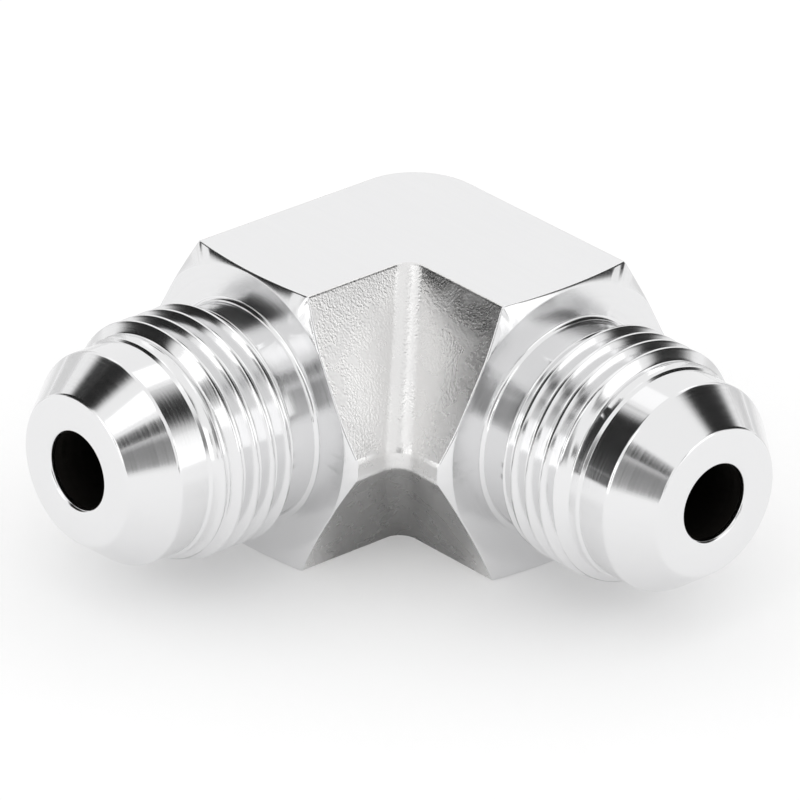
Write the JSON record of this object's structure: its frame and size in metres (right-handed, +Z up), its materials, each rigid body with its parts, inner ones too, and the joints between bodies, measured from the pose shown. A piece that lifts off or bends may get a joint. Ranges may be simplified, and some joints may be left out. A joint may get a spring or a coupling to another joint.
{
  "type": "jic elbow fitting",
  "caption": "Right-angle hydraulic tube union, forged and machined from stainless steel, with an externally threaded flare end on each arm and flats for a wrench.",
  "frame": {"origin": "on the lower flat, straight under the point where the two bores cross", "axes": "+X out along one arm, -Y out along the other, +Z up, square to the two flats"},
  "size_m": [0.0466, 0.0466, 0.0234],
  "materials": {
    "stainless_steel": "bright turned ends and shoulders, satin flats, blasted forged side walls"
  },
  "bodies": {
    "root": {"elbow_body": "stainless_steel"}
  },
  "joints": []
}
